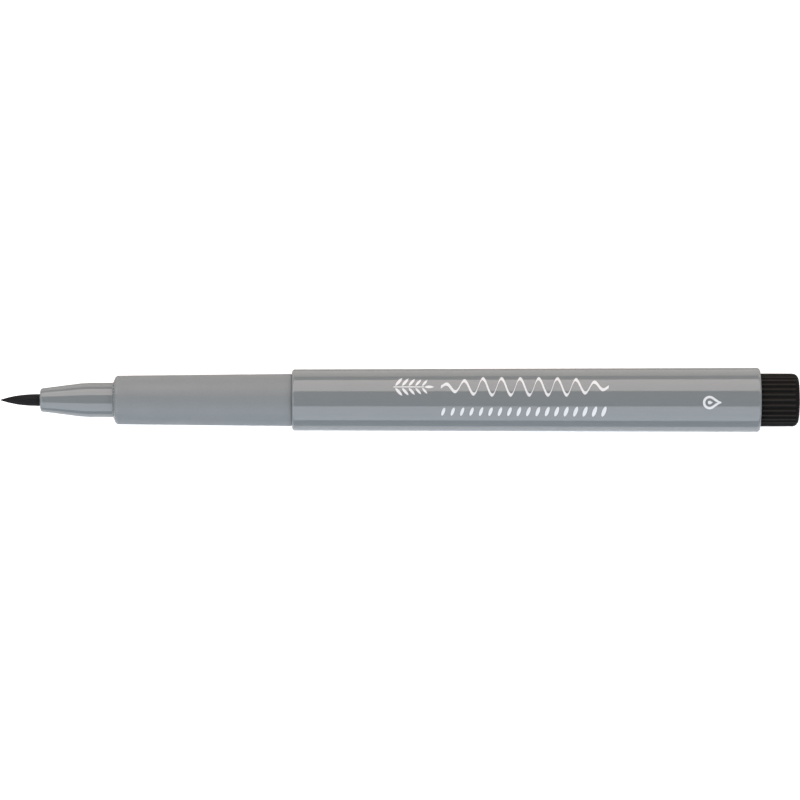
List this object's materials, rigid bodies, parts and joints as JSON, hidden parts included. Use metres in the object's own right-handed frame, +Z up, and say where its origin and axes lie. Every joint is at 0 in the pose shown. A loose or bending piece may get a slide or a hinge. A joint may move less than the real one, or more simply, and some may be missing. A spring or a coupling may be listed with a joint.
{
  "type": "calligraphy marker",
  "caption": "Uncapped brush-tip calligraphy marker: pointed fibre nib, tapered nose, matt grip, round drafted barrel with an inner ink reservoir, and a ribbed end plug.",
  "frame": {"origin": "under the middle of the pen's length, on the surface that the barrel lies on", "axes": "+X along the pen's axis from the nib towards the end plug, +Z up, +Y to the side"},
  "size_m": [0.135, 0.0108, 0.0109],
  "materials": {
    "gloss_grey": "polished moulded plastic",
    "matt_grey": "fine spark-eroded mould texture",
    "black_plastic": "satin moulded plastic",
    "inked_fibre": "bonded fibre soaked in black ink",
    "reservoir_fibre": "loose bonded fibre holding black ink",
    "clear_film": "thin clear film",
    "white_plastic": "extruded plastic tube"
  },
  "bodies": {
    "housing": {"barrel": "gloss_grey", "grip_section": "matt_grey", "nose_cone": "gloss_grey"},
    "nib": {"brush_shank": "inked_fibre"},
    "tip": {"brush_tip": "inked_fibre"},
    "reservoir": {"reservoir_core": "reservoir_fibre", "reservoir_film": "clear_film", "breather_tube": "white_plastic"},
    "plug": {"end_plug": "black_plastic"}
  },
  "joints": [
    {"name": "nib_pull", "type": "slide", "parent": "housing", "child": "nib", "axis": [-1, 0, 0], "range_m": [0, 0.029]},
    {"name": "tip_flex", "type": "hinge", "parent": "nib", "child": "tip", "pos_m": [-0.06073, 0, 0.00543], "axis": [0, 0, 1], "range_deg": [-25, 25], "stiffness_Nm_per_rad": 0.005},
    {"name": "reservoir_draw", "type": "slide", "parent": "housing", "child": "reservoir", "axis": [1, 0, 0], "range_m": [0, 0.106]},
    {"name": "plug_pull", "type": "slide", "parent": "reservoir", "child": "plug", "axis": [1, 0, 0], "range_m": [0, 0.012]}
  ]
}
